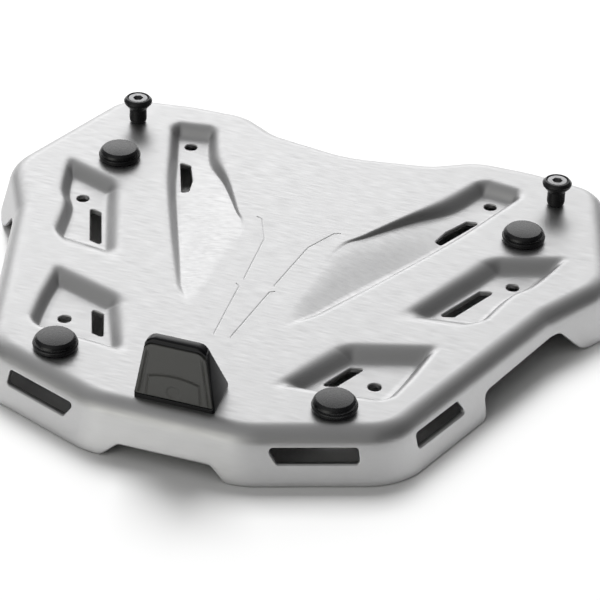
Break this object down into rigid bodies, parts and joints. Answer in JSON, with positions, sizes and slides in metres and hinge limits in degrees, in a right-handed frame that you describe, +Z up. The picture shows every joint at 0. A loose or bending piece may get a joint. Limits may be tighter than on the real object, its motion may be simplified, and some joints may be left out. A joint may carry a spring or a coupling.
{
  "type": "top case mounting plate",
  "caption": "Pressed aluminium mounting plate for a motorcycle top case, with rubber pads, mushroom hook pins and a snap catch block.",
  "frame": {"origin": "middle of the bounding box in the plane of the skirt's lower edge", "axes": "+Z up, +Y to the front of the motorcycle, +X to the right; the catch block is at the rear (-Y) and the mushroom pins at the front (+Y)"},
  "size_m": [0.372, 0.3309, 0.0672],
  "materials": {
    "plate": "satin sheet",
    "pad": "matt",
    "pin": "semi-gloss black",
    "steel": "zinc plated",
    "catch": "gloss black",
    "cover": "fine matt grain"
  },
  "bodies": {
    "root": {"plate": "plate", "pad_front_left": "pad", "pad_front_right": "pad", "pad_rear_left": "pad", "pad_rear_right": "pad", "pin_left": "pin", "pin_right": "pin", "pin_screw_left": "steel", "pin_screw_right": "steel", "pin_washer_left": "steel", "pin_washer_right": "steel", "pin_nut_left": "steel", "pin_nut_right": "steel", "catch_body": "catch", "catch_cover": "cover", "catch_screw_left": "steel", "catch_screw_right": "steel", "catch_washer_left": "steel", "catch_washer_right": "steel"}
  },
  "joints": []
}
